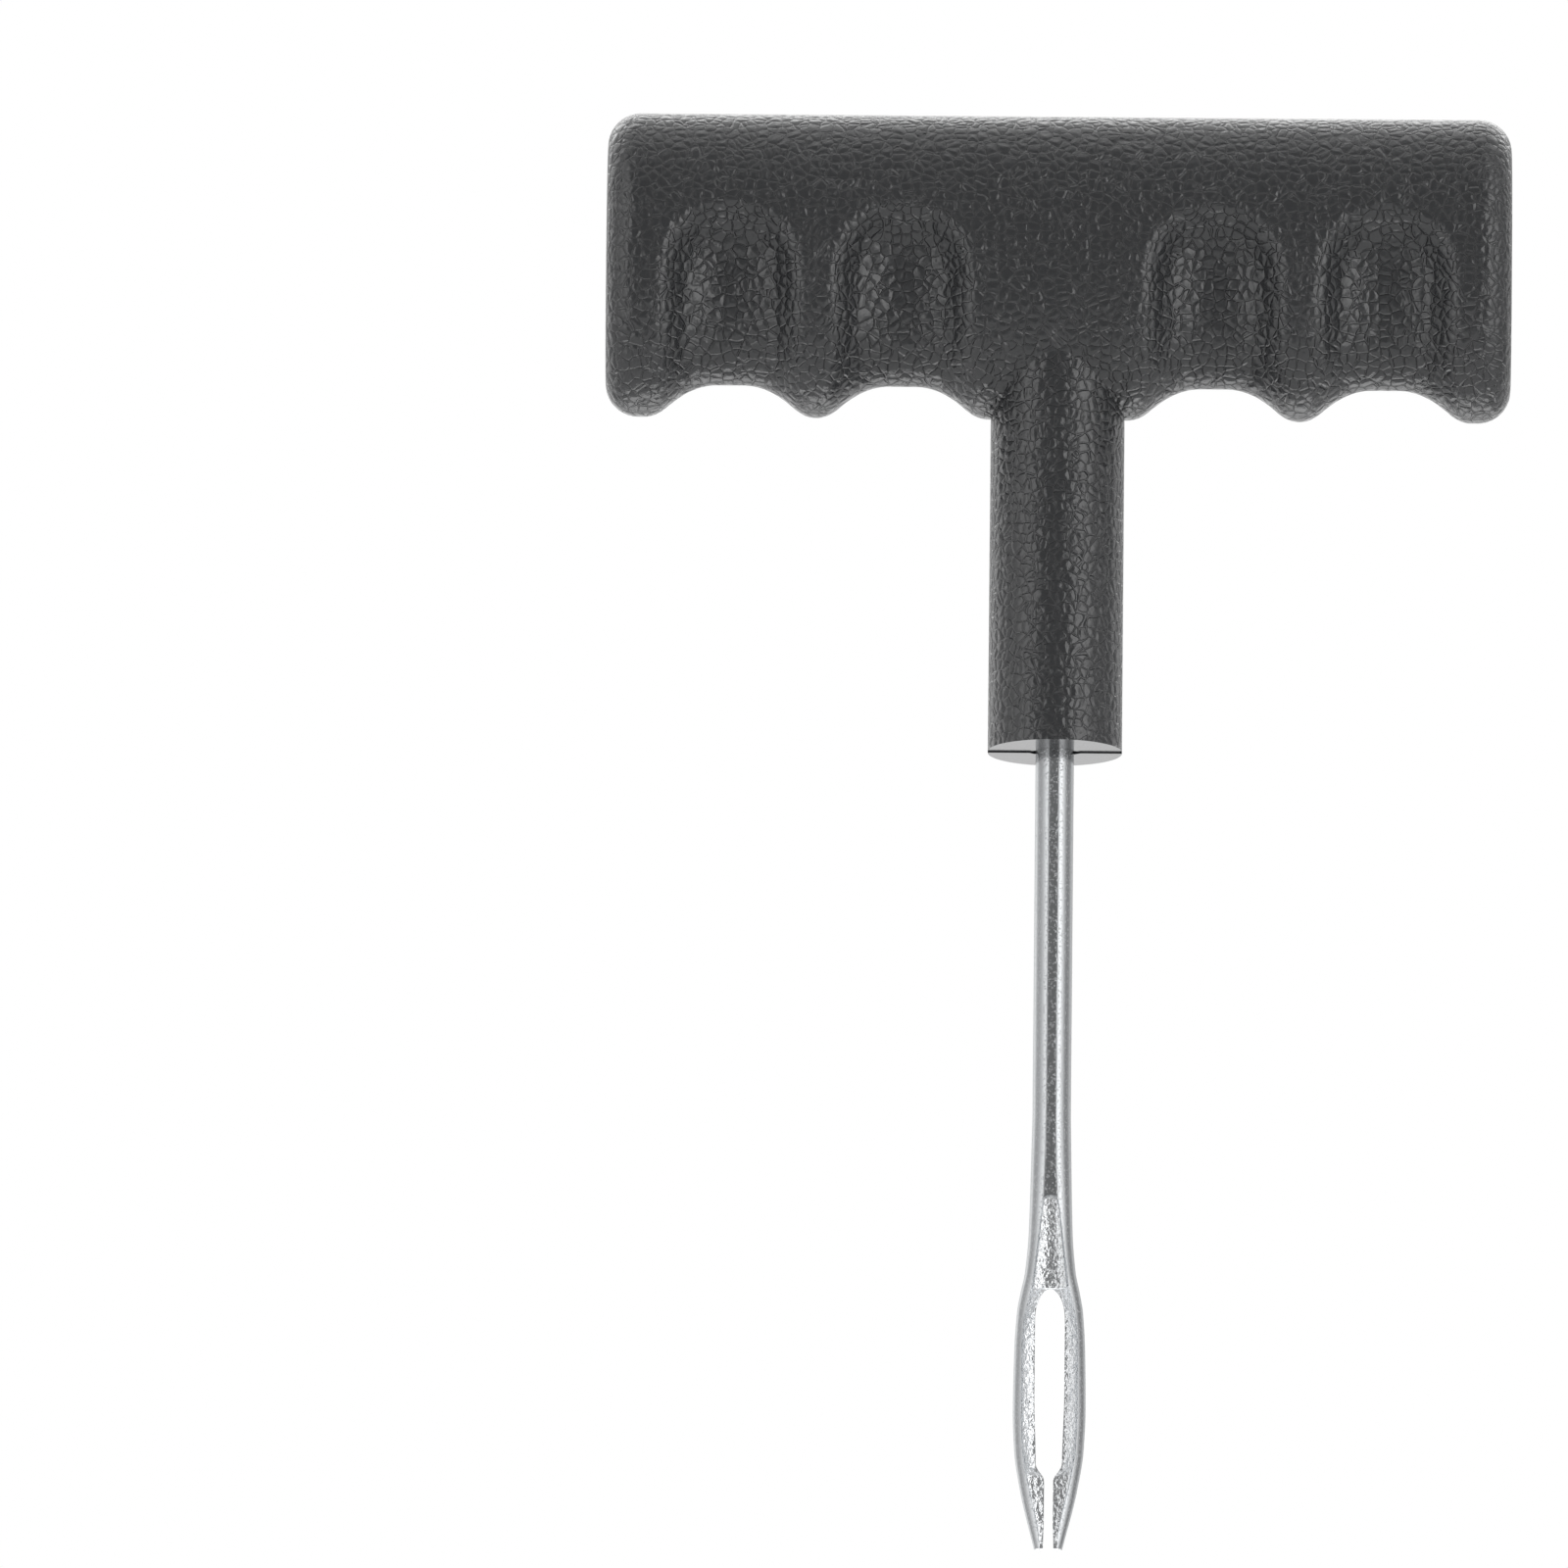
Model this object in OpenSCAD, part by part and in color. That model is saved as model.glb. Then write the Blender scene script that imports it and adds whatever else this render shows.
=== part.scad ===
// T-handle tyre plug insertion tool: a forged split-eye needle clamped between two moulded grip halves.
// Millimetres, +Z up the needle towards the grip, -Y the front. The origin is the middle of the grip bar.

/* [Grip bar] */
// Length of the bar across the hand
bar_length = 100; // [92:1:110]
// Height of the bar above its widest line
bar_rise = 14; // [12:0.5:16]
// Depth of the bar below its widest line
bar_drop = 20; // [18:0.5:23]
// Thickness of the bar from front to back
bar_thickness = 19.6; // [18:0.2:23]
// Radius on the bar's two end faces
end_radius = 3.6; // [2:0.2:4]

/* [Finger grooves] */
// Distance of the inner pair of grooves from the needle's axis
inner_groove_x = 17.2; // [16.5:0.1:18]
// Distance of the outer pair of grooves from the needle's axis
outer_groove_x = 36.2; // [35:0.1:37]
// Depth of a groove in the front and back faces
groove_depth = 3.9; // [2:0.1:4.2]
// Height of the middle of a groove's rounded top end
groove_top_z = -2.2; // [-4:0.2:1]
// Rise of the bar's lower edge at each groove
scallop_rise = 3.55; // [2:0.05:4]

/* [Stem] */
// Diameter of the round stem
stem_d = 14.8; // [13:0.2:16]
// Length of stem that shows below the bar
stem_length = 37.6; // [30:0.2:45]

/* [Needle] */
// Diameter of the needle's shank
shank_d = 4.25; // [3.8:0.05:4.6]
// Length of needle that shows below the stem
needle_length = 88.9; // [80:0.1:100]
// Width of the slit between the two prongs
slit_w = 1; // [0.8:0.1:1.4]
// Width of the eye where it is widest
eye_w = 3.3; // [3:0.1:3.8]

/* [Inside the grip] */
// Thickness of the needle's flattened top end
paddle_t = 2; // [1.6:0.1:2.6]
// Width of the needle's flattened top end
paddle_w = 7; // [6:0.5:8]
// Diameter of the moulded boss that passes through the flattened end
boss_d = 3; // [2.4:0.2:3.4]
// Diameter of the four locating pegs
peg_d = 3; // [2.4:0.2:3.4]
// Depth of the cored pockets under the grooves
pocket_depth = 3.4; // [2:0.2:3.6]

/* [Hidden] */

$fn = 64;
eps = 0.02;                  // overlap that keeps cuts clean
parting_gap = 0.05;          // each half stops this far from the mid-plane
fit_gap = 0.03;              // clearance round the shank and the flattened end
peg_gap = 0.05;              // clearance round a peg or the boss in its socket
widest_z = 3;                // height of the bar's widest line
bar_bottom = widest_z - bar_drop;
stem_end = bar_bottom - stem_length;
tip_z = stem_end - needle_length;
stem_top = -4;               // the stem runs up into the bar to here
stem_shoulder = bar_bottom - 1;  // round and straight below this, drafted above it
stem_draft = 0.15;           // how much the drafted length narrows on each side
section_power = 2.1;         // 2 is an ellipse, more is squarer
station_step = 1.25;         // spacing of the bar's sections
section_points = 24;         // points on half of a bar section
groove_foot = 4.2;           // the groove's wall starts this far from its middle line
groove_rim = 8;              // and meets the face this far out
scallop_foot = 1.5;          // the scallop's top is level this far from the groove's middle line
scallop_reach = 8;           // and it meets the bump this far beyond
groove_x = [-outer_groove_x, -inner_groove_x, inner_groove_x, outer_groove_x];

// Pocket, peg and flattened-end places inside the grip
paddle_bottom = -12;
paddle_top = 9;
paddle_hole_z = 3;
paddle_r = 2;                // corner radius of the flattened end
taper_length = 5;            // round shank to flattened end
mouth_nick = 0.9;            // broken edge each side of the shank where the halves meet
socket_depth = 4.2;
peg_length = 4;
peg_places = [[-45.4, 0], [-26.7, 3], [26.7, 3], [45.4, 0]];
pockets = [                  // [centre x, centre z, width, height, depth]
    for (side = [-1, 1])
        each [
            [side * 36.2, 6.6, 13, 9, pocket_depth + 1],
            [side * 36.2, -3.6, 11, 7, pocket_depth],
            [side * 16.4, 6.6, 14, 9, pocket_depth + 1],
            [side * 17.2, -3.6, 11, 7, pocket_depth]
        ]
];

// The forged head, measured up from the tip: [height, half width, half depth]
head_knots = [
    [0, 1.54, 1.15], [6.6, 3.15, 1.75], [11, 3.82, 2], [15.4, 4, 2.1], [22, 3.9, 2.12],
    [26.4, 3.63, 2.12], [28.6, 3.25, 2.12], [30.8, 2.8, 2.12], [35.2, 2.43, 2.12],
    [48, shank_d / 2, shank_d / 2]
];
// Its sunk face: [height, half width at the rim, half width of the floor, depth of floor from mid-plane]
sink_knots = [
    [1, 0.98, 0.8, 1.1], [4.4, 1.67, 0.95, 0.72], [8.4, 2.55, 1.2, 0.55], [10.4, 2.88, 1.3, 0.25],
    [15.4, 3.12, 1.5, 0.4], [22, 3.1, 1.6, 0.4], [25.3, 2.9, 1.6, 0.4], [27.6, 2.42, 1.2, 0.4],
    [29.2, 2.08, 0.3, 0.75], [34, 1.45, 0.05, 1.1], [37.6, 1.02, 0.02, 1.5], [39.6, 0.5, 0.01, 2.15]
];
head_length = head_knots[len(head_knots) - 1][0];
head_sides = 32;             // points round a head section
head_step = 0.9;             // spacing of the head's sections
sink_sides = 10;             // points across the sunk face
sink_reach = 3;              // the sunk face's cutter runs out to here
eye_foot = 8.4;              // the slit opens out into the eye here
eye_bottom = 10.2;
eye_top = 25.5;              // the eye's arched top starts here
eye_arch = 3.5;              // and rises this far

plastic = "#2e2f31";
steel = "#b9bcc0";

// --- shape functions ---

function smooth(a, b, x) = let (t = min(1, max(0, (x - a) / (b - a)))) t * t * (3 - 2 * t);

// Rise of the lower edge at x: one scallop under each groove, a broad arch that turns over into rounded bumps
function arch_share(t) = t < 0.68 ? t * t / 0.68 : 1 - (1 - min(1, t)) ^ 2 / 0.32;
function scallop(x) =
    scallop_rise * max([for (g = groove_x) 1 - arch_share(max(0, abs(x - g) - scallop_foot) / scallop_reach)]);

// Depth of the grooves at x, z: a broad hollow with a steeper wall round it
function groove_r(x, z, g) = norm([x - g, max(0, z - groove_top_z)]);
function groove_one(r) =
    groove_depth * (0.5 * (1 - smooth(0, groove_rim + 0.8, r)) + 0.5 * (1 - smooth(groove_foot, groove_rim, r)));
function groove(x, z) = max([for (g = groove_x) groove_one(groove_r(x, z, g))]);

// How far the end radius pulls the section in at x
function end_pull(x) =
    let (d = bar_length / 2 - abs(x))
    d >= end_radius ? 0 : end_radius - sqrt(max(0, end_radius ^ 2 - (end_radius - d) ^ 2));

// Stations along the bar, closer together on the end radius
inner_stations = floor((bar_length / 2 - end_radius) / station_step);
end_angles = [75, 60, 45, 30, 15, 0];
half_stations = concat(
    [for (i = [1:inner_stations - 1]) i * station_step],
    [for (a = end_angles) bar_length / 2 - end_radius + end_radius * cos(a)]
);
stations = concat([for (i = [len(half_stations) - 1:-1:0]) -half_stations[i]], [0], half_stations);

function power_of(v, n) = sign(v) * pow(abs(v), 2 / n);

// One half section of the bar at x, from its top edge round the front to its bottom edge
function bar_section(x) =
    let (pull = end_pull(x),
         half = bar_thickness / 2 - pull,
         up = bar_rise - pull,
         down = bar_drop - pull - scallop(x))
    [for (j = [0:section_points])
        let (a = 90 - 180 * j / section_points,
             z = widest_z + (a > 0 ? up : down) * power_of(sin(a), section_power),
             y = half * power_of(max(0, cos(a)), section_power))
        [x, -y * (1 - groove(x, z) / (bar_thickness / 2)), z]];

// --- lofting ---

// A closed body through rings that all have the same number of points, capped round each end's middle
function middle_of(ring) = [for (c = [0:2]) let (v = [for (p = ring) p[c]]) (max(v) + min(v)) / 2];
module loft(rings) {
    n = len(rings[0]);
    m = len(rings);
    polyhedron(
        points = concat([for (r = rings) each r], [middle_of(rings[0]), middle_of(rings[m - 1])]),
        faces = concat(
            [for (j = [0:n - 1]) [m * n, j, (j + 1) % n]],
            [for (i = [0:m - 2], j = [0:n - 1])
                let (k = (j + 1) % n)
                each [[i * n + j, (i + 1) * n + j, (i + 1) * n + k],
                      [i * n + j, (i + 1) * n + k, i * n + k]]],
            [for (j = [0:n - 1]) [m * n + 1, (m - 1) * n + (j + 1) % n, (m - 1) * n + j]]
        )
    );
}

// Smooth blend between knots [height, values...], with flat runs kept flat
function slope_at(k, i, c) =
    i == 0 || i == len(k) - 1 ? 0 :
    let (a = (k[i][c] - k[i - 1][c]) / (k[i][0] - k[i - 1][0]),
         b = (k[i + 1][c] - k[i][c]) / (k[i + 1][0] - k[i][0]))
    a * b <= 0 ? 0 : 2 * a * b / (a + b);
function span_of(k, h, i = 0) = i >= len(k) - 2 || h < k[i + 1][0] ? i : span_of(k, h, i + 1);
function along(k, h, c) =
    let (i = span_of(k, h),
         d = k[i + 1][0] - k[i][0],
         t = min(1, max(0, (h - k[i][0]) / d)),
         m0 = (i == 0 ? (k[1][c] - k[0][c]) / (k[1][0] - k[0][0]) : slope_at(k, i, c)) * d,
         m1 = slope_at(k, i + 1, c) * d)
    (2 * t ^ 3 - 3 * t ^ 2 + 1) * k[i][c] + (t ^ 3 - 2 * t ^ 2 + t) * m0
        + (3 * t ^ 2 - 2 * t ^ 3) * k[i + 1][c] + (t ^ 3 - t ^ 2) * m1;

// --- the grip halves ---

// The front half of the bar, closed along the parting plane
module bar_half() {
    loft([for (x = stations) bar_section(x)]);
}

module stem_half() {
    difference() {
        union() {
            translate([0, 0, stem_end])
                cylinder(h = stem_shoulder - stem_end, d = stem_d);
            translate([0, 0, stem_shoulder])
                cylinder(h = stem_top - stem_shoulder, d1 = stem_d, d2 = stem_d - 2 * stem_draft);
        }
        translate([-stem_d, 0, stem_end - 1])
            cube([2 * stem_d, stem_d, stem_top - stem_end + 2]);
    }
}

// Seat for the shank and its flattened top, with the broken edge where the halves meet
module needle_seat() {
    translate([0, 0, stem_end - 1])
        cylinder(h = paddle_bottom - stem_end + 1 + eps, d = shank_d + 2 * fit_gap);
    for (side = [-1, 1])
        translate([side * (shank_d / 2 + 0.05), 0, stem_end])
            rotate([0, 0, 45])
                cube([mouth_nick, mouth_nick, 3], center = true);
    translate([0, 0, paddle_bottom - taper_length])
        cylinder(h = taper_length + eps, d1 = shank_d + 2 * fit_gap,
                 d2 = norm([paddle_w, paddle_t]) + 4 * fit_gap);
    translate([-paddle_w / 2 - fit_gap, -paddle_t / 2 - fit_gap, paddle_bottom - eps])
        cube([paddle_w + 2 * fit_gap, paddle_t + 2 * fit_gap, paddle_top - paddle_bottom + fit_gap]);
}

module pocket_cuts() {
    for (p = pockets)
        translate([p[0] - p[2] / 2, -p[4], p[1] - p[3] / 2])
            cube([p[2], p[4] + 1, p[3]]);
}

// One moulded half without pegs or sockets, on the front side
module grip_half() {
    difference() {
        union() {
            bar_half();
            stem_half();
        }
        translate([-bar_length, -parting_gap, stem_end - 1])
            cube([2 * bar_length, 2, bar_length + stem_length]);
        needle_seat();
        pocket_cuts();
    }
}

module along_y(d, length) {
    rotate([90, 0, 0])
        cylinder(h = length, d = d, center = true);
}

// Sockets for the pegs and the boss, in the front half
module front_grip_half() {
    color(plastic)
        difference() {
            grip_half();
            for (p = peg_places)
                translate([p[0], 0, p[1]])
                    along_y(peg_d + 2 * peg_gap, 2 * socket_depth);
            translate([0, 0, paddle_hole_z])
                along_y(boss_d + 2 * peg_gap, 2 * socket_depth);
        }
}

// Pegs and the boss, in the back half
module back_grip_half() {
    color(plastic)
        union() {
            mirror([0, 1, 0])
                grip_half();
            for (p = peg_places)
                translate([p[0], 0, p[1]])
                    along_y(peg_d, 2 * peg_length);
            translate([0, 0, paddle_hole_z])
                along_y(boss_d, 2 * peg_length);
        }
}

// --- the needle ---

// Round at the shank, a little squarer at the eye
function head_power(h) = 2 + 0.5 * smooth(46, 30, h);
function head_section(h) =
    let (w = along(head_knots, h, 1), d = along(head_knots, h, 2))
    [for (j = [0:head_sides - 1])
        let (a = 360 * j / head_sides)
        [w * power_of(cos(a), head_power(h)), d * power_of(sin(a), head_power(h)), tip_z + h]];

// Half depth of the head's outer surface at height h and half width x
function outer_y(h, x) =
    let (n = head_power(h), share = min(1, abs(x) / along(head_knots, h, 1)))
    along(head_knots, h, 2) * pow(max(0, 1 - pow(share, n)), 1 / n);

// The cutter for the sunk front face at height h
function sink_section(h) =
    let (rim = along(sink_knots, h, 1),
         floor_w = min(rim * 0.9, along(sink_knots, h, 2)),
         floor_y = along(sink_knots, h, 3),
         rim_y = outer_y(h, rim))
    concat(
        [for (j = [0:sink_sides])
            let (x = rim * (2 * j / sink_sides - 1),
                 t = max(0, (abs(x) - floor_w) / (rim - floor_w)))
            [-x, -(floor_y + max(0.01, rim_y - floor_y) * t ^ 1.3), tip_z + h]],
        [[-rim, -sink_reach, tip_z + h], [rim, -sink_reach, tip_z + h]]
    );

module sink_cutter() {
    low = sink_knots[0][0];
    high = sink_knots[len(sink_knots) - 1][0];
    steps = ceil((high - low) / head_step);
    loft([for (i = [0:steps]) sink_section(low + (high - low) * i / steps)]);
}

// The through eye and the slit that opens it to the tip
module eye_cutter() {
    arch = [for (a = [0:15:180]) [eye_w / 2 * cos(a), eye_top + eye_arch * sin(a)]];
    rotate([90, 0, 0])
        linear_extrude(height = 4 * sink_reach, center = true)
            translate([0, tip_z])
                polygon(concat(
                    [[-slit_w / 2, -1], [slit_w / 2, -1], [slit_w / 2, eye_foot],
                     [eye_w * 0.4, eye_bottom], [eye_w / 2, eye_bottom + 7]],
                    arch,
                    [[-eye_w / 2, eye_bottom + 7], [-eye_w * 0.4, eye_bottom], [-slit_w / 2, eye_foot]]
                ));
}

module needle_head() {
    steps = ceil(head_length / head_step);
    color(steel)
        difference() {
            loft([for (i = [0:steps]) head_section(head_length * i / steps)]);
            sink_cutter();
            mirror([0, 1, 0])
                sink_cutter();
            eye_cutter();
        }
}

// The round shank, pressed flat at the top and pierced for the boss
module needle_shank() {
    color(steel)
        union() {
            translate([0, 0, tip_z + head_length])
                cylinder(h = paddle_bottom - taper_length - tip_z - head_length, d = shank_d);
            hull() {
                translate([0, 0, paddle_bottom - taper_length - eps])
                    cylinder(h = eps, d = shank_d - eps, $fn = 32);
                translate([-paddle_w / 2, -paddle_t / 2, paddle_bottom])
                    cube([paddle_w, paddle_t, eps]);
            }
            difference() {
                translate([-paddle_w / 2, -paddle_t / 2, paddle_bottom])
                    cube([paddle_w, paddle_t, paddle_top - paddle_bottom - eps]);
                translate([0, 0, paddle_hole_z])
                    along_y(boss_d + 2 * peg_gap, 2 * paddle_t);
                for (side = [-1, 1])
                    translate([side * paddle_w / 2, 0, paddle_top])
                        rotate([0, 45, 0])
                            cube([paddle_r, 2 * paddle_t, paddle_r], center = true);
            }
        }
}

front_grip_half();
back_grip_half();
needle_shank();
needle_head();
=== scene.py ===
import math
import bpy
import bmesh
from mathutils import Matrix, Vector


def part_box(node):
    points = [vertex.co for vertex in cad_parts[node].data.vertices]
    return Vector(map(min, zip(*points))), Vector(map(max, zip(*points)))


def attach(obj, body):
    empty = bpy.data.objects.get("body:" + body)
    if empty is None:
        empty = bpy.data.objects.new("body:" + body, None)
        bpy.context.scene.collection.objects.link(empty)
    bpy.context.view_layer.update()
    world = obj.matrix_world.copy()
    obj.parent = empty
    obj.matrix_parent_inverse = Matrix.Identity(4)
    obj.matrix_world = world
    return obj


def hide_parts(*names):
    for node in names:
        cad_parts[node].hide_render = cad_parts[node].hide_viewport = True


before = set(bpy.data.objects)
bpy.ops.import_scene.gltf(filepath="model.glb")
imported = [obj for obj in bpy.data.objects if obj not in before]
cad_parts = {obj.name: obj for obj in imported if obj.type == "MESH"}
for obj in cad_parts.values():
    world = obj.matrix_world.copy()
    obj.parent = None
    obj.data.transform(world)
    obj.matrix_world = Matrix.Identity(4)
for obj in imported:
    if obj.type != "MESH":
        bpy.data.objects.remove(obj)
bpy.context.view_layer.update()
print("frame loaded")

# The pieces are shaped in millimetres and brought to metres at the end.
mm = 0.001
gripLow, gripHigh = [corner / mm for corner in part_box("front_grip_half")]
headLow, headHigh = [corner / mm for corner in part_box("needle_head")]
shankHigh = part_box("needle_shank")[1] / mm
headLength = headHigh.z - headLow.z


def ease(start, end, x):
    t = min(1.0, max(0.0, (x - start) / (end - start)))
    return t * t * (3 - 2 * t)


def steps(start, end, count):  # the ends of count equal steps, without the start
    return [start + (end - start) * (i + 1) / count for i in range(count)]


def along(knots, h):  # smooth curve through (height, value) knots that never overshoots them
    i = max(0, min(len(knots) - 2, sum(1 for k in knots if k[0] <= h) - 1))
    rise = [(b[1] - a[1]) / (b[0] - a[0]) for a, b in zip(knots, knots[1:])]

    def slope(k):
        if k in (0, len(knots) - 1):
            return rise[min(k, len(rise) - 1)]
        a, b = rise[k - 1], rise[k]
        return 0 if a * b <= 0 else 2 * a * b / (a + b)

    d = knots[i + 1][0] - knots[i][0]
    t = min(1.0, max(0.0, (h - knots[i][0]) / d))
    return ((2 * t**3 - 3 * t**2 + 1) * knots[i][1] + (t**3 - 2 * t**2 + t) * d * slope(i)
            + (3 * t**2 - 2 * t**3) * knots[i + 1][1] + (t**3 - t**2) * d * slope(i + 1))


def power(value, n):  # superellipse coordinate: n of 2 is round, more is squarer
    return math.copysign(abs(value) ** (2 / n), value)


def makeObject(name, bm, materials, scale=1.0):  # scale brings the shape's units to metres
    bm.transform(Matrix.Scale(scale, 4))
    mesh = bpy.data.meshes.new(name)
    bm.to_mesh(mesh)
    bm.free()
    for material in materials:
        mesh.materials.append(material)
    obj = bpy.data.objects.new(name, mesh)
    bpy.context.scene.collection.objects.link(obj)
    return obj


def applied(obj):  # the object's mesh with its modifiers worked in, as a bmesh; the object is removed
    bpy.context.view_layer.update()
    shown = obj.evaluated_get(bpy.context.evaluated_depsgraph_get())
    bm = bmesh.new()
    bm.from_mesh(shown.to_mesh())
    shown.to_mesh_clear()
    bpy.data.objects.remove(obj)
    return bm


def combine(bm, other, operation, materials):  # exact boolean; the tool's faces take the last material
    body = makeObject("body", bm, materials)
    tool = makeObject("tool", other, materials[-1:])
    cut = body.modifiers.new("cut", "BOOLEAN")
    cut.operation = operation
    cut.object = tool
    cut.solver = "EXACT"
    cut.material_mode = "TRANSFER"
    result = applied(body)
    bpy.data.objects.remove(tool)
    return result


def crisp(bm, degrees):  # edges that turn more than this are shaded as edges
    for e in bm.edges:
        if len(e.link_faces) == 2 and e.calc_face_angle(0) > math.radians(degrees):
            e.smooth = False


def addNode(tree, kind, settings=None, inputs=None):
    node = tree.nodes.new(kind)
    for key, value in (settings or {}).items():
        setattr(node, key, value)
    for key, value in (inputs or {}).items():
        if isinstance(value, bpy.types.NodeSocket):
            tree.links.new(value, node.inputs[key])
        else:
            node.inputs[key].default_value = value
    return node


def colour(text):  # sRGB hex to linear
    def channel(i):
        c = int(text[i:i + 2], 16) / 255
        return c / 12.92 if c <= 0.04045 else ((c + 0.055) / 1.055) ** 2.4
    return (channel(1), channel(3), channel(5), 1.0)


def startMaterial(name):
    material = bpy.data.materials.new(name)
    material.use_nodes = True
    tree = material.node_tree
    tree.nodes.clear()
    place = addNode(tree, "ShaderNodeTexCoord").outputs["Object"]
    return material, tree, place


def finishMaterial(tree, settings):
    shader = addNode(tree, "ShaderNodeBsdfPrincipled", None, settings)
    addNode(tree, "ShaderNodeOutputMaterial", None, {"Surface": shader.outputs["BSDF"]})


def addNoise(tree, place, scale, detail, roughness=0.5):
    inputs = {"Vector": place, "Scale": scale, "Detail": detail, "Roughness": roughness}
    return addNode(tree, "ShaderNodeTexNoise", None, inputs)


def addRange(tree, value, source, target=(0.0, 1.0), smooth=False):  # carries one span over to another
    settings = {"interpolation_type": "SMOOTHSTEP" if smooth else "LINEAR"}
    node = addNode(tree, "ShaderNodeMapRange", settings, {"Value": value})
    for key, (low, high) in (("From", source), ("To", target)):
        node.inputs[key + " Min"].default_value = low
        node.inputs[key + " Max"].default_value = high
    return node.outputs[0]


def addBump(tree, height, depth, under=None):  # relief of this depth in metres, on top of the one under it
    inputs = {"Height": height, "Distance": depth, "Strength": 1.0}
    if under:
        inputs["Normal"] = under
    return addNode(tree, "ShaderNodeBump", None, inputs).outputs[0]


grain = {
    "pitch": 1.15 * mm,       # one pebble to the next
    "warp": 0.27 * mm,        # how far the pebbles' outlines wander
    "scatter": 0.85,          # 0 is a regular pattern, 1 a fully random one
    "wall": (0.02, 0.15),     # foot and top of a pebble's wall, in shares of the pitch
    "wallHeight": 0.12 * mm,
    "dome": 0.11 * mm,        # further rise from the wall to the middle
    "speckle": 0.045 * mm,
    "colour": "#343537",
    "shine": 0.9,             # strength of the surface reflection
    "roughness": 0.2,
}


def pebbleGrainedPolypropylene():
    # Injection-moulded black plastic from an etched mould: close-set rounded pebbles with steep glossy walls
    material, tree, place = startMaterial("pebbleGrainedPolypropylene")
    wander = addNoise(tree, place, 0.7 / grain["pitch"], 1.0)
    centred = addNode(tree, "ShaderNodeVectorMath", {"operation": "SUBTRACT"},
                      {0: wander.outputs["Color"], 1: (0.5, 0.5, 0.5)})
    offset = addNode(tree, "ShaderNodeVectorMath", {"operation": "SCALE"},
                     {0: centred.outputs[0], "Scale": 2 * grain["warp"]})
    warped = addNode(tree, "ShaderNodeVectorMath", {"operation": "ADD"}, {0: place, 1: offset.outputs[0]})
    cells = {"Vector": warped.outputs[0], "Scale": 1 / grain["pitch"], "Randomness": grain["scatter"]}
    nearest = addNode(tree, "ShaderNodeTexVoronoi", {"feature": "F1"}, cells)
    second = addNode(tree, "ShaderNodeTexVoronoi", {"feature": "F2"}, cells)
    apart = addNode(tree, "ShaderNodeMath", {"operation": "SUBTRACT"},
                    {0: second.outputs["Distance"], 1: nearest.outputs["Distance"]}).outputs[0]
    wall = addRange(tree, apart, grain["wall"], (0.0, grain["wallHeight"] / mm), smooth=True)
    dome = addRange(tree, apart, (0.0, 1.0), (0.0, grain["dome"] / mm), smooth=True)
    height = addNode(tree, "ShaderNodeMath", {"operation": "ADD"}, {0: wall, 1: dome})
    speck = addNoise(tree, place, 4 / grain["pitch"], 3.0)
    fine = addBump(tree, speck.outputs["Fac"], grain["speckle"])
    finishMaterial(tree, {
        "Base Color": colour(grain["colour"]),
        "Roughness": grain["roughness"],
        "IOR": 1.55,
        "Specular IOR Level": grain["shine"],
        "Normal": addBump(tree, height.outputs[0], mm, fine),
    })
    return material


polished = {
    "waves": 900.0,           # per metre
    "waveDepth": 0.004 * mm,
    "colour": "#3a3b3d",
    "roughness": 0.16,
}


def polishedMouldFace():
    # The same plastic against a polished mould face: smooth and glossy, on the stem's end and inside
    material, tree, place = startMaterial("polishedMouldFace")
    wave = addNoise(tree, place, polished["waves"], 3.0)
    finishMaterial(tree, {
        "Base Color": colour(polished["colour"]),
        "Roughness": polished["roughness"],
        "IOR": 1.52,
        "Normal": addBump(tree, wave.outputs["Fac"], polished["waveDepth"]),
    })
    return material


drawn = {
    "lineWidth": 0.12 * mm,   # drawing lines, across and along the rod
    "lineLength": 3 * mm,
    "lineDepth": 0.004 * mm,
    "pit": 0.25 * mm,
    "pitDepth": 0.012 * mm,
    "pitWall": (0.32, 0.44),  # foot and top of a pit's wall, in shares of the noise
    "colour": "#c9cbcd",
    "roughness": (0.11, 0.2),
}


def drawnSteel():
    # Bright drawn carbon steel: clear streaks of reflection along the rod, with fine drawing lines and pits
    material, tree, place = startMaterial("drawnSteel")
    across = 1 / drawn["lineWidth"]
    stretched = addNode(tree, "ShaderNodeMapping", None,
                        {"Vector": place, "Scale": (across, across, 1 / drawn["lineLength"])})
    lines = addNoise(tree, stretched.outputs[0], 1.0, 3.0).outputs["Fac"]
    pits = addNoise(tree, place, 1 / drawn["pit"], 4.0, 0.6)
    pitted = addRange(tree, pits.outputs["Fac"], drawn["pitWall"])
    lined = addBump(tree, lines, drawn["lineDepth"])
    finishMaterial(tree, {
        "Base Color": colour(drawn["colour"]),
        "Metallic": 1.0,
        "Roughness": addRange(tree, lines, (0.3, 0.7), drawn["roughness"]),
        "Normal": addBump(tree, pitted, drawn["pitDepth"], lined),
    })
    return material


forged = {
    "dent": 0.8 * mm,
    "dentDepth": 0.07 * mm,
    "grit": 0.4 * mm,
    "gritDepth": 0.2 * mm,
    "colour": "#eceef0",
    "roughness": 0.18,
}


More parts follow.
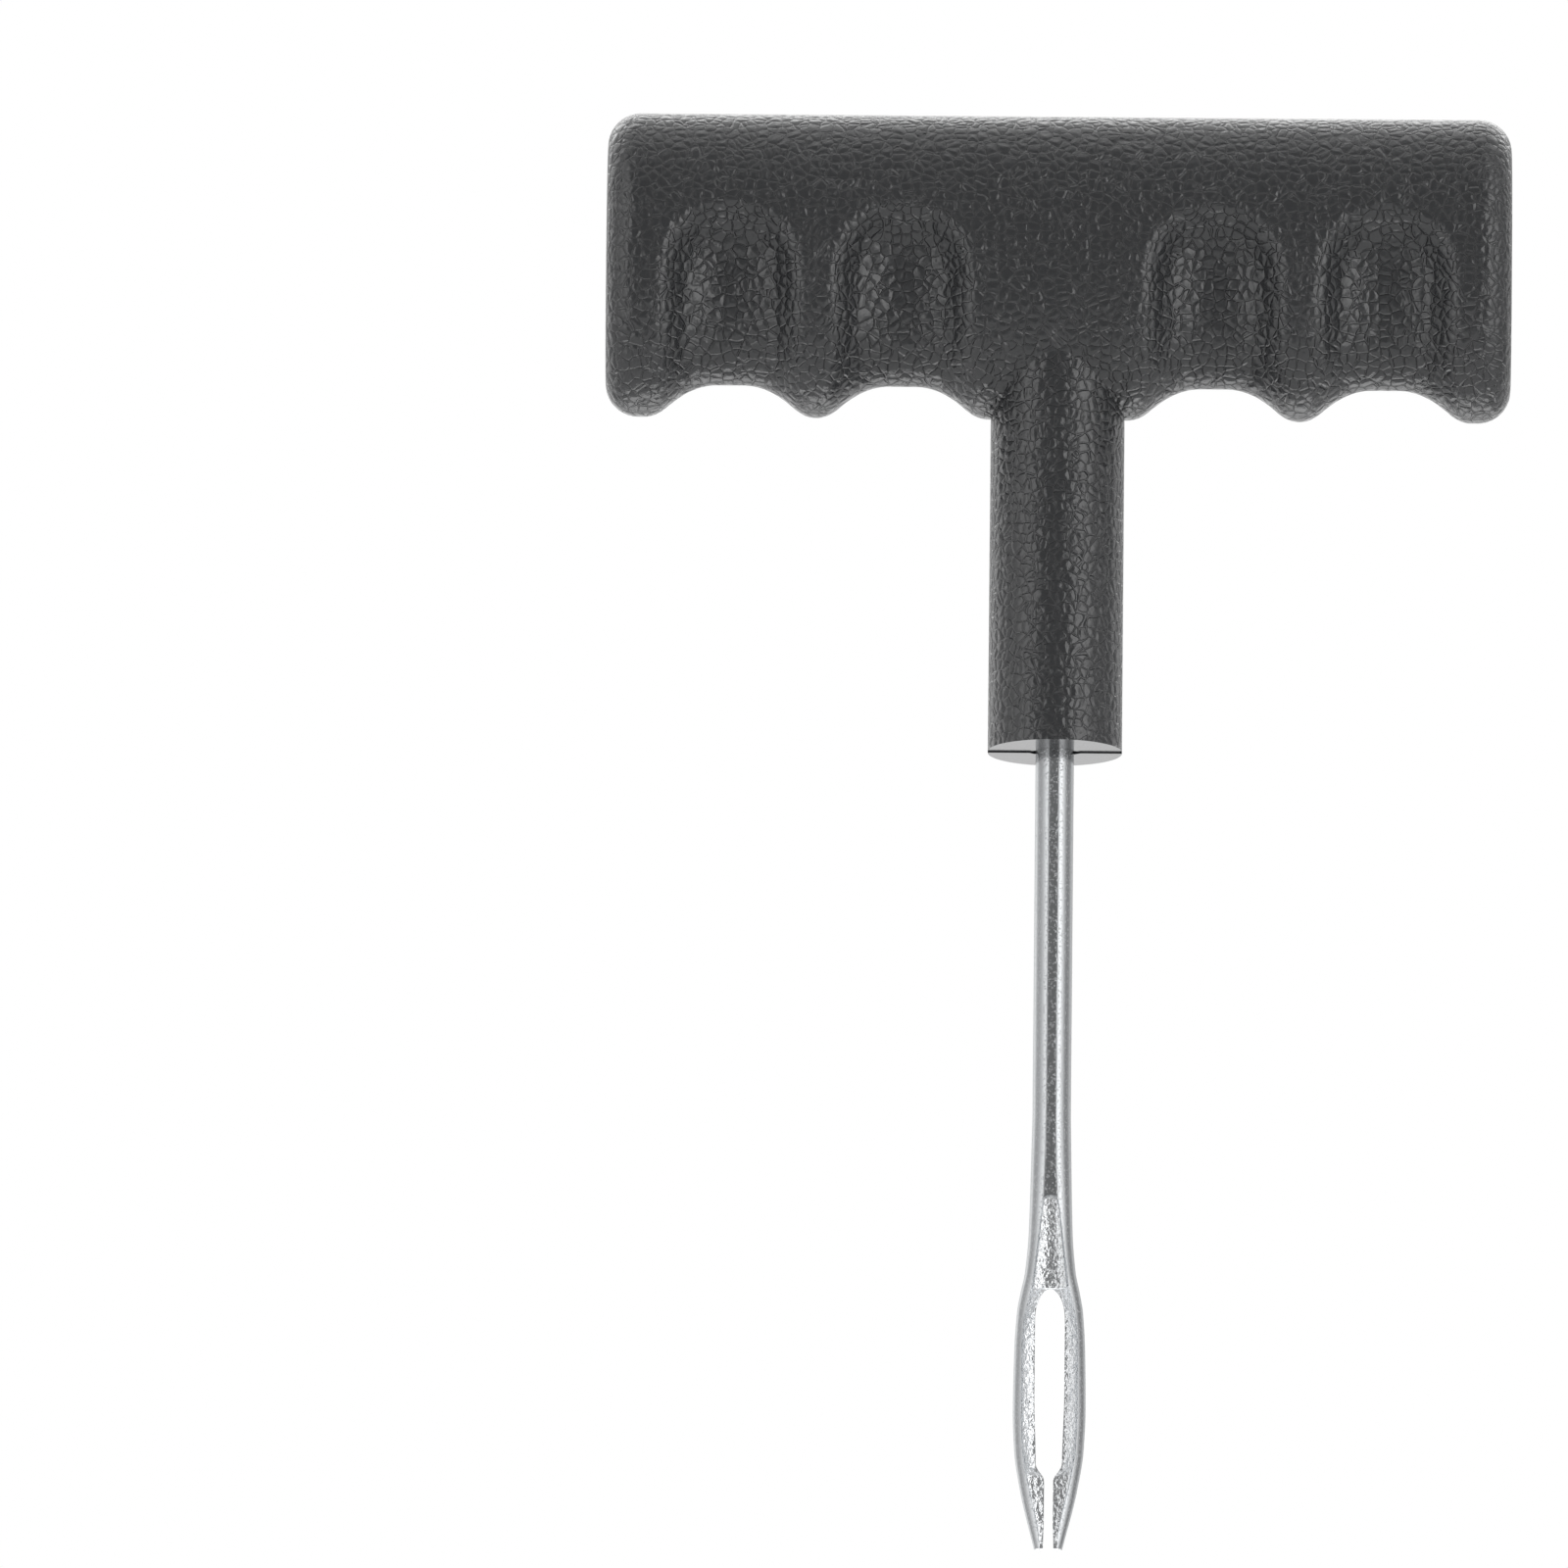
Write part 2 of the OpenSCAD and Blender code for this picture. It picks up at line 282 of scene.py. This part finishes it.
def asForgedSteel():
    # Struck in the die and only tumbled: bright but rough, with small hammered facets
    material, tree, place = startMaterial("asForgedSteel")
    dents = addNode(tree, "ShaderNodeTexVoronoi", {"feature": "SMOOTH_F1"},
                    {"Vector": place, "Scale": 1 / forged["dent"], "Smoothness": 0.5})
    grit = addNoise(tree, place, 1 / forged["grit"], 2.0)
    dented = addBump(tree, dents.outputs["Distance"], forged["dentDepth"])
    finishMaterial(tree, {
        "Base Color": colour(forged["colour"]),
        "Metallic": 1.0,
        "Roughness": forged["roughness"],
        "Normal": addBump(tree, grit.outputs["Fac"], forged["gritDepth"], dented),
    })
    return material


def matteFloor():
    # Plain pale matt floor, well below the tool
    material, tree, _ = startMaterial("matteFloor")
    finishMaterial(tree, {"Base Color": colour(studio["floorColour"]), "Roughness": 0.9})
    return material


grainedPlastic = pebbleGrainedPolypropylene()
smoothPlastic = polishedMouldFace()
brightSteel = drawnSteel()
forgedSteel = asForgedSteel()
print("materials made")


# All sizes of the pieces are in millimetres, and heights are from the middle of the bar.
bar = {
    "halfLength": gripHigh.x,
    "top": gripHigh.z,
    "halfThickness": -gripLow.y,
    "widestZ": 3.0,
    "bottom": -17.0,
    "endRadius": 3.6,
    "squareness": 2.1,
    "ringGap": 0.5,
    "ringPoints": 144,
}
groove = {
    "places": (17.2, 36.2),
    "depth": 3.9,
    "topZ": -2.2,
    "foot": 4.2,
    "rim": 8.0,
    "scallop": 3.55,
    "scallopFoot": 1.5,
    "scallopReach": 8.0,
    "scallopTurn": 0.68,      # share of the reach at which the arch turns over into the bump
}
stem = {
    "radius": 7.4,
    "end": gripLow.z,
    "top": -4.0,
    "shoulder": -18.0,
    "draft": 0.15,
    "points": 160,
}
joint = {
    "gap": 0.002,             # each half stops this far from the middle
    "step": 0.15,             # the front half's end stands this much higher
    "crispAbove": 18,         # degrees between faces
}
inside = {
    "pegs": ((-45.4, 0.0), (-26.7, 3.0), (26.7, 3.0), (45.4, 0.0)),
    "pegRadius": 1.5,
    "pegLength": 4.0,
    "socketDepth": 4.2,
    "play": 0.05,
    "bossZ": 3.0,             # height of the boss that locks the needle
    "seatGap": 0.03,
    # x, z, width, height and depth of each cored pocket
    "pockets": ((36.2, 6.6, 13, 9, 4.4), (36.2, -3.6, 11, 7, 3.4), (16.4, 6.6, 14, 9, 4.4),
                (17.2, -3.6, 11, 7, 3.4)),
    "cornerRadius": 1.0,
    "nick": 0.9,              # broken edge each side of the needle, where the halves meet
    "nickHeight": 3,
    "past": 1.0,              # a cutter runs this far past the face it opens
    "pegPoints": 48,
}


def groovesAt(x, z):  # how far the four finger grooves sink the face
    depth = 0.0
    for place in groove["places"]:
        r = math.hypot(abs(x) - place, max(0.0, z - groove["topZ"]))
        broad = 1 - ease(0, groove["rim"] + 0.8, r)
        walled = 1 - ease(groove["foot"], groove["rim"], r)
        depth = max(depth, 0.5 * broad + 0.5 * walled)
    return groove["depth"] * depth


def scallopAt(x):  # how far the lower edge rises over a groove
    away = min(abs(abs(x) - place) for place in groove["places"])
    t = min(1.0, max(0.0, away - groove["scallopFoot"]) / groove["scallopReach"])
    turn = groove["scallopTurn"]
    fall = t * t / turn if t < turn else 1 - (1 - t) ** 2 / (1 - turn)
    return groove["scallop"] * (1 - fall)


def barPoint(x, turn):
    left = bar["halfLength"] - abs(x)
    r = bar["endRadius"]
    pull = 0.0 if left >= r else r - math.sqrt(max(0.0, r * r - (r - left) ** 2))
    rise = bar["top"] - bar["widestZ"] - pull
    drop = bar["widestZ"] - bar["bottom"] - pull - scallopAt(x)
    up, out = math.cos(turn), math.sin(turn)
    z = bar["widestZ"] + (rise if up > 0 else drop) * power(up, bar["squareness"])
    y = (bar["halfThickness"] - pull) * power(out, bar["squareness"])
    return Vector((x, -y * (1 - groovesAt(x, z) / bar["halfThickness"]), z))


def barStations():
    flat = bar["halfLength"] - bar["endRadius"]
    body = steps(-flat, flat, round(2 * flat / bar["ringGap"]))
    bend = [flat + bar["endRadius"] * math.sin(math.radians(a)) for a in range(9, 91, 9)]
    return [-x for x in reversed(bend)] + [-flat] + body + bend


def gripOutside():
    bm = bmesh.new()
    turn = bm.verts.layers.float.new("turn")
    ring = bmesh.ops.create_circle(bm, segments=bar["ringPoints"], radius=1.0)["verts"]
    for v in ring:
        v[turn] = math.atan2(v.co.y, v.co.x)
    edges = list(bm.edges)
    bmesh.ops.contextual_create(bm, geom=edges)
    stations = barStations()
    for i, x in enumerate(stations):
        if i:
            made = bmesh.ops.extrude_edge_only(bm, edges=edges)["geom"]
            ring = [g for g in made if isinstance(g, bmesh.types.BMVert)]
            edges = [g for g in made if isinstance(g, bmesh.types.BMEdge)]
        for v in ring:
            v.co = barPoint(x, v[turn])
    bmesh.ops.contextual_create(bm, geom=edges)
    bmesh.ops.recalc_face_normals(bm, faces=bm.faces)
    for low, high, draft in (
        (stem["end"] - inside["past"], stem["shoulder"], 0.0),
        (stem["shoulder"], stem["top"], stem["draft"]),
    ):
        part = bmesh.new()
        bmesh.ops.create_cone(part, cap_ends=True, segments=stem["points"], radius1=stem["radius"],
                              radius2=stem["radius"] - draft, depth=high - low,
                              matrix=Matrix.Translation((0, 0, (low + high) / 2)))
        bm = combine(bm, part, "UNION", [grainedPlastic])
    return bm


def cutOff(bm, place, outward):  # cuts the body off flat and closes it with a smooth face
    geom = bm.verts[:] + bm.edges[:] + bm.faces[:]
    cut = bmesh.ops.bisect_plane(bm, geom=geom, plane_co=place, plane_no=outward, clear_outer=True)
    rim = [g for g in cut["geom_cut"] if isinstance(g, bmesh.types.BMEdge)]
    closed = bmesh.ops.contextual_create(bm, geom=rim)["faces"]
    for f in closed:
        f.material_index = 1


def addPeg(bm, x, z, radius, low, high):  # a round bar along Y
    turned = Matrix.Translation((x, (low + high) / 2, z)) @ Matrix.Rotation(math.pi / 2, 4, "X")
    bmesh.ops.create_cone(bm, cap_ends=True, segments=inside["pegPoints"], radius1=radius, radius2=radius,
                          depth=high - low, matrix=turned)


def pocketCutter(side):  # side is -1 for the front half
    bm = bmesh.new()
    for x, z, width, height, depth in inside["pockets"]:
        for hand in (-1, 1):
            size = Matrix.Diagonal((width, depth + inside["past"], height, 1))
            place = Matrix.Translation((hand * x, side * (depth - inside["past"]) / 2, z))
            cube = bmesh.ops.create_cube(bm, size=1.0, matrix=place @ size)["verts"]
            upright = {e for v in cube for e in v.link_edges
                       if abs(e.verts[0].co.y - e.verts[1].co.y) > depth / 2}
            bmesh.ops.bevel(bm, geom=list(upright), offset=inside["cornerRadius"], offset_type="OFFSET",
                            segments=4, profile=0.5, affect="EDGES", material=-1)
    for hand in (-1, 1):
        mouth = Matrix.Translation((hand * (needle["shank"] + inside["play"]), 0, stem["end"]))
        turned = mouth @ Matrix.Rotation(math.pi / 4, 4, "Z")
        size = Matrix.Diagonal((inside["nick"], inside["nick"], inside["nickHeight"], 1))
        bmesh.ops.create_cube(bm, size=1.0, matrix=turned @ size)
    return bm


def gripHalf(name, outside, side):
    bm = outside.copy()
    cutOff(bm, (0, 0, stem["end"] + (joint["step"] if side < 0 else 0)), (0, 0, -1))
    cutOff(bm, (0, side * joint["gap"], 0), (0, -side, 0))
    both = [grainedPlastic, smoothPlastic]
    bm = combine(bm, needleSkin(inside["seatGap"], aboveHead=True), "DIFFERENCE", both)
    bm = combine(bm, pocketCutter(side), "DIFFERENCE", both)
    posts = bmesh.new()
    for x, z in inside["pegs"] + ((0.0, inside["bossZ"]),):
        if side < 0:
            addPeg(posts, x, z, inside["pegRadius"] + inside["play"], -inside["socketDepth"], inside["past"])
        else:
            addPeg(posts, x, z, inside["pegRadius"], -inside["pegLength"], inside["pegLength"])
    bm = combine(bm, posts, "DIFFERENCE" if side < 0 else "UNION", both)
    bmesh.ops.recalc_face_normals(bm, faces=bm.faces)
    for f in bm.faces:
        f.smooth = f.material_index == 0
    crisp(bm, joint["crispAbove"])
    return makeObject(name, bm, both, mm)


needle = {
    "tip": headLow.z,
    "shank": shankHigh.y,
    "top": shankHigh.z,
    "taperLow": -17.0,
    "taperHigh": -12.0,
    "paddleHalfWidth": 3.5,
    "paddleHalfThickness": 1.0,
    "paddleCorner": 2.6,      # height of the rounded corners at its top
    "paddleNarrowing": 2.0,   # how much they take off each side
    "paddleSquareness": 10,
    "headSquareness": 2.5,
    "crispAbove": 24,
    # from here on heights are above the tip; first half width and half depth of the outside
    "width": ((0, 1.54), (6.6, 3.15), (11, 3.82), (15.4, 4.0), (22, 3.9), (26.4, 3.63), (28.6, 3.25),
              (30.8, 2.8), (35.2, 2.43), (headLength, shankHigh.y)),
    "depth": ((0, 1.15), (6.6, 1.75), (11, 2.0), (15.4, 2.1), (22, 2.12), (headLength, shankHigh.y)),
    # half width between the two crests of the sunk face
    "crest": ((0, 0.95), (2.2, 1.2), (4.4, 1.7), (8.8, 2.65), (11, 2.95), (15.4, 3.12), (22, 3.1),
              (25.3, 2.9), (27.4, 2.45), (28.9, 2.1), (31.2, 1.8), (34.1, 1.43), (37.4, 1.03), (39.3, 0.67)),
    # half thickness left at the inner edge, and at the bottom of the sunk face
    "edge": ((0, 1.0), (3, 0.85), (7.8, 0.85), (9.1, 0.25), (13, 0.4), (28.95, 0.4)),
    "floor": ((29.15, 0.8), (34, 1.05), (37.6, 1.4), (39.9, 1.7)),
    "wallSag": ((0, 0.0), (7.8, 0.0), (9.1, 0.12), (13, 0.05), (28.95, 0.05)),
    "lip": ((0, 0.06), (7.2, 0.06), (8.9, 0.03), (28.95, 0.03), (29.15, 0.1)),
    "rimDrop": 0.3,           # steep step just inside a crest
    "wallPower": 1.25,        # 1 is a straight wall from the edge to the crest, more is hollower
    "flutePower": 2.1,        # the same for the hollow above the eye
    "tipShare": 0.9,          # the end row is drawn in to this share, which rounds the tip
    "slit": 0.5,
    "slitFlare": 0.08,        # the slit is this much wider each side at the tip
    "flareTop": 3,
    "slitTop": 7.9,
    "eyeLow": 9.3,
    "eyeStart": 0.82,         # share of its width that the eye gains at its foot, the rest over its reach
    "eyeReach": 8,
    "eyeHalfWidth": 1.64,
    "archLow": 25.5,
    "archTop": 28.95,
    "ledge": 29.15,
    "fluteEnd": 38.5,
    "fluteEndRadius": 0.62,
}


def needleHeights(aboveHead):  # heights above the tip at which the skin has a row, closer where it turns
    n = needle
    toPlane = -n["tip"]
    rise = n["archTop"] - n["archLow"]
    arch = [n["archLow"] + rise * math.sin(math.radians(a)) for a in range(5, 91, 5)]
    flute = n["fluteEnd"]
    head = ([0, 0.07] + steps(0.07, 7.0, 30) + steps(7.0, 9.8, 22) + steps(9.8, n["archLow"], 48) + arch
            + steps(n["archTop"], n["ledge"], 4) + steps(n["ledge"], flute - 0.3, 36)
            + steps(flute - 0.3, flute + 0.8, 22) + steps(flute + 0.8, headLength, 14))
    rod = [toPlane + stem["end"] - inside["past"], toPlane + n["taperLow"]]
    top = toPlane + n["top"]
    paddle = steps(rod[-1], toPlane + n["taperHigh"], 10) + [top - n["paddleCorner"], top - 0.3, top]
    return ([] if aboveHead else head) + rod + paddle


# The skin's columns, from the middle of the eye's wall out to the side: (kind, share of that stretch)
needleColumns = ([("web", 0.0)] + [("lip", s) for s in (0.0, 0.12, 0.5, 0.88, 1.0)]
                 + [("sunk", s) for s in (0.06, 0.15, 0.26, 0.38, 0.5, 0.62, 0.74, 0.85, 0.93, 0.97)]
                 + [("crest", 1.0)]
                 + [("outer", t) for t in (0.02, 0.05, 0.1, 0.18, 0.27, 0.36, 0.45, 0.54, 0.63, 0.72, 0.81,
                                           0.9, 1.0)])


def holeAt(h):  # half width of the slit and the eye
    n = needle
    if h >= n["archTop"] - 1e-6:
        return 0.0
    if h > n["archLow"]:
        share = (h - n["archLow"]) / (n["archTop"] - n["archLow"])
        return n["eyeHalfWidth"] * math.sqrt(max(0.0, 1 - share * share))
    slit = n["slit"] + n["slitFlare"] * (1 - ease(0, n["flareTop"], h))
    quick = ease(n["slitTop"] - 0.4, n["eyeLow"] + 0.3, h)
    slow = ease(n["eyeLow"], n["eyeLow"] + n["eyeReach"], h)
    return slit + (n["eyeHalfWidth"] - slit) * (n["eyeStart"] * quick + (1 - n["eyeStart"]) * slow)


def outline(h):  # half width, half depth and squareness of the outside
    n = needle
    z = n["tip"] + h
    if z <= n["taperLow"]:
        squareness = 2 + (n["headSquareness"] - 2) * (1 - ease(30, 46, h))
        return along(n["width"], h), along(n["depth"], h), squareness
    pressed = ease(n["taperLow"], n["taperHigh"], z)
    corner = n["paddleNarrowing"] * ease(n["top"] - n["paddleCorner"], n["top"], z) ** 2
    width = n["shank"] + (n["paddleHalfWidth"] - n["shank"]) * pressed - corner
    depth = n["shank"] + (n["paddleHalfThickness"] - n["shank"]) * pressed
    return width, depth, 2 + (n["paddleSquareness"] - 2) * pressed ** 2


def needlePoint(h, kind, share, grow):  # one point of the skin; grow fattens it, for its seat in the grip
    n = needle
    width, depth, squareness = outline(h)
    width, depth = width + grow, depth + grow
    hole = holeAt(h)
    crest = along(n["crest"], min(h, n["fluteEnd"]))
    z = n["tip"] + h

    def outsideY(x):
        return depth * max(0.0, 1 - (abs(x) / width) ** squareness) ** (1 / squareness)

    if kind == "outer":
        angle = math.acos(min(1.0, crest / width) ** (squareness / 2)) * (1 - share)
        x, y = power(math.cos(angle), squareness), power(math.sin(angle), squareness)
        return Vector((width * x, -depth * y, z))
    if kind == "web":
        return Vector((hole, 0.0, z))
    if kind == "crest":
        return Vector((crest, -outsideY(crest), z))
    inner = hole + along(n["lip"], min(h, n["ledge"]))
    if h <= n["archTop"] + 1e-6:  # prongs and eye: from the inner edge out to the crest
        edge = along(n["edge"], h)
        if kind == "lip":
            return Vector((hole + (inner - hole) * share, -edge, z))
        x = inner + (crest - inner) * share
        sag = along(n["wallSag"], h) * math.sin(math.pi * share ** 0.8)
        drop = n["rimDrop"] * ease(0, 4, h)
        rise = (outsideY(crest) - edge - drop) * share ** n["wallPower"] + drop * ease(0.9, 1, share)
        return Vector((x, -(edge + rise - sag), z))
    x = inner * share if kind == "lip" else inner + (crest - inner) * share  # hollow above the eye
    across = x / crest
    out = min(1.0, math.hypot(across, max(0.0, h - n["fluteEnd"]) / n["fluteEndRadius"]))
    floor = along(n["floor"], h)
    bent = out ** n["flutePower"]
    sunk = max(0.0, outsideY(0) - floor) * (1 - bent)
    blend = outsideY(x) if out >= 1 else outsideY(0) - sunk - (outsideY(0) - outsideY(crest)) * bent
    blend -= n["rimDrop"] * (out * (1 - ease(0.9, 1, out))) ** 2
    return Vector((x, -min(blend, outsideY(x)), z))


def needleSkin(grow=0.0, aboveHead=False):
    # One quarter of the skin is a grid, set in place row by row, and mirrored twice.
    heights = needleHeights(aboveHead)
    rows, columns = len(heights) - 1, len(needleColumns) - 1
    bm = bmesh.new()
    bmesh.ops.create_grid(bm, x_segments=rows, y_segments=columns, size=1.0)
    rowOf = {v: round((v.co.x + 1) / 2 * rows) for v in bm.verts}
    columnOf = {v: round((v.co.y + 1) / 2 * columns) for v in bm.verts}
    top = needle["archTop"] - 1e-6
    inner = [f for f in bm.faces if max(columnOf[v] for v in f.verts) == 1
             and min(heights[rowOf[v]] for v in f.verts) >= top]
    crestColumn = needleColumns.index(("crest", 1.0))
    for f in bm.faces:
        sunk = max(columnOf[v] for v in f.verts) <= crestColumn
        across = sum(columnOf[v] for v in f.verts) / 4 / crestColumn
        past = max(0.0, sum(heights[rowOf[v]] for v in f.verts) / 4 - needle["fluteEnd"])
        f.material_index = 1 if sunk and math.hypot(across, past / needle["fluteEndRadius"]) < 1 else 0
        f.smooth = True
    for v in bm.verts:
        h = heights[rowOf[v]]
        kind, share = needleColumns[columnOf[v]]
        v.co = needlePoint(h, kind, share, grow)
        if h == 0:
            middle = Vector(((holeAt(0) + outline(0)[0]) / 2, 0, v.co.z))
            v.co = middle + (v.co - middle) * needle["tipShare"]
    bmesh.ops.delete(bm, geom=inner, context="FACES")
    for axis in ("Y", "X"):
        geom = bm.verts[:] + bm.edges[:] + bm.faces[:]
        bmesh.ops.mirror(bm, geom=geom, matrix=Matrix.Identity(4), merge_dist=0.001, axis=axis)
    ends = [e for e in bm.edges if e.is_boundary]
    bmesh.ops.holes_fill(bm, edges=ends, sides=0)
    bmesh.ops.recalc_face_normals(bm, faces=bm.faces)
    return bm


def makeNeedle():
    hole = bmesh.new()
    addPeg(hole, 0, inside["bossZ"], inside["pegRadius"] + inside["play"], -3, 3)
    bm = combine(needleSkin(), hole, "DIFFERENCE", [brightSteel, forgedSteel])
    crisp(bm, needle["crispAbove"])
    return makeObject("needle", bm, [brightSteel, forgedSteel], mm)


needlePiece = makeNeedle()
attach(needlePiece, "root")
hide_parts("needle_shank", "needle_head")
print("needle made")

outside = gripOutside()
print("grip outside made")
for pieceName, cadNode, side in (
    ("frontGripHalf", "front_grip_half", -1),
    ("backGripHalf", "back_grip_half", 1),
):
    half = gripHalf(pieceName, outside, side)
    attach(half, "root")
    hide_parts(cadNode)
    print(pieceName, "made")
outside.free()


studio = {
    "floorHalfSize": 6.0,     # the stage is in metres
    "floorZ": -2.6,
    "floorColour": "#e6e6e6",
    # brightness round the object, by degrees to the right of the camera
    "ring": ((-180, 0.5), (-130, 1.2), (-106, 0.55), (-86, 0.52), (-71, 0.68), (-57, 1.0), (-43, 1.35),
             (-37, 1.3), (-32, 0.3), (-26, 0.21), (0, 0.2), (24, 0.2), (31, 1.6), (44, 1.8), (57, 1.2),
             (71, 0.66), (84, 0.36), (98, 0.34), (112, 0.45), (130, 0.8), (180, 0.5)),
    "brightest": 2.0,
    # the ceiling: how steeply up it begins and is full, then its brightness from front to back
    "ceilingFrom": (0.55, 0.8),
    "ceilingSpan": (-0.7, 0.4),
    "ceiling": (0.22, 1.0),
    # a broad patch of light behind the object, low down
    "behind": 1.35,
    "behindTowards": (0, 0.985, -0.17),
    "behindEdge": (0.88, 0.96),
}
# azimuth and elevation in degrees from the front, then distance, width, height and watts
softboxes = {
    "softboxLowBack": (180, -62, 0.9, 1.2, 0.8, 4.5),
    "softboxHighBack": (180, 38, 1.2, 1.2, 0.6, 3.6),
}
view = {
    "lens": 530.5,
    "place": (0, -2.5, -0.5381),
    "yaw": 0.683,
    "pitch": 10.863,
    "roll": 0.618,
}


def makeFloor():
    bm = bmesh.new()
    level = Matrix.Translation((0, 0, studio["floorZ"]))
    bmesh.ops.create_grid(bm, x_segments=1, y_segments=1, size=studio["floorHalfSize"], matrix=level)
    makeObject("floor", bm, [matteFloor()])


def addSoftbox(name, azimuth, elevation, distance, width, height, watts):
    lamp = bpy.data.lights.new(name, "AREA")
    lamp.shape = "RECTANGLE"
    lamp.size, lamp.size_y = width, height
    lamp.energy = watts
    obj = bpy.data.objects.new(name, lamp)
    bpy.context.scene.collection.objects.link(obj)
    a, e = math.radians(azimuth), math.radians(elevation)
    towards = Vector((math.sin(a) * math.cos(e), -math.cos(a) * math.cos(e), math.sin(e)))
    middle = Vector((0, 0, -0.06))
    obj.location = middle + towards * distance
    obj.rotation_euler = towards.to_track_quat("Z", "Y").to_euler()


def addRing(tree, parts):  # brightness by direction round the object
    forward = addNode(tree, "ShaderNodeMath", {"operation": "MULTIPLY"}, {0: parts.outputs["Y"], 1: -1.0})
    azimuth = addNode(tree, "ShaderNodeMath", {"operation": "ARCTAN2"},
                      {0: parts.outputs["X"], 1: forward.outputs[0]})
    ring = addNode(tree, "ShaderNodeValToRGB", None,
                   {"Fac": addRange(tree, azimuth.outputs[0], (-math.pi, math.pi))})
    stops = ring.color_ramp.elements  # it starts with the two end stops
    for angle, level in studio["ring"][1:-1]:
        stops.new((angle + 180) / 360)
    for stop, (angle, level) in zip(stops, studio["ring"]):
        share = level / studio["brightest"]
        stop.color = (share, share, share, 1)
    return addNode(tree, "ShaderNodeMath", {"operation": "MULTIPLY"},
                   {0: ring.outputs["Color"], 1: studio["brightest"]}).outputs[0]


def addMix(tree, share, a, b):  # a where the share is 0, b where it is 1
    node = addNode(tree, "ShaderNodeMix", {"data_type": "FLOAT"}, {"Factor": share, "A": a, "B": b})
    return node.outputs["Result"]


def makeWorld():
    world = bpy.data.worlds.new("studio")
    bpy.context.scene.world = world
    world.use_nodes = True
    tree = world.node_tree
    tree.nodes.clear()
    direction = addNode(tree, "ShaderNodeTexCoord").outputs["Generated"]
    parts = addNode(tree, "ShaderNodeSeparateXYZ", None, {0: direction})
    high = addRange(tree, parts.outputs["Z"], studio["ceilingFrom"], smooth=True)
    ceiling = addRange(tree, parts.outputs["Y"], studio["ceilingSpan"], studio["ceiling"], smooth=True)
    domed = addMix(tree, high, addRing(tree, parts), ceiling)
    nearBack = addNode(tree, "ShaderNodeVectorMath", {"operation": "DOT_PRODUCT"},
                       {0: direction, 1: studio["behindTowards"]})
    glow = addRange(tree, nearBack.outputs["Value"], studio["behindEdge"], smooth=True)
    lit = addMix(tree, glow, domed, studio["behind"])
    seen = addNode(tree, "ShaderNodeLightPath").outputs["Is Camera Ray"]
    light = addNode(tree, "ShaderNodeBackground", None,
                    {"Color": (1, 1, 1, 1), "Strength": addMix(tree, seen, lit, 1.0)})
    addNode(tree, "ShaderNodeOutputWorld", None, {"Surface": light.outputs[0]})


def makeCamera():
    camera = bpy.data.cameras.new("camera")
    camera.sensor_width = 36
    camera.lens = view["lens"]
    camera.clip_start, camera.clip_end = 0.05, 60
    obj = bpy.data.objects.new("camera", camera)
    bpy.context.scene.collection.objects.link(obj)
    obj.location = view["place"]
    yaw, pitch, roll = [math.radians(view[key]) for key in ("yaw", "pitch", "roll")]
    aimed = Matrix.Rotation(yaw, 4, "Z") @ Matrix.Rotation(math.pi / 2 + pitch, 4, "X")
    obj.rotation_euler = (aimed @ Matrix.Rotation(roll, 4, "Z")).to_euler()
    bpy.context.scene.camera = obj


makeFloor()
makeWorld()
for softboxName, values in softboxes.items():
    addSoftbox(softboxName, *values)
makeCamera()
bpy.context.scene.view_settings.view_transform = "Standard"
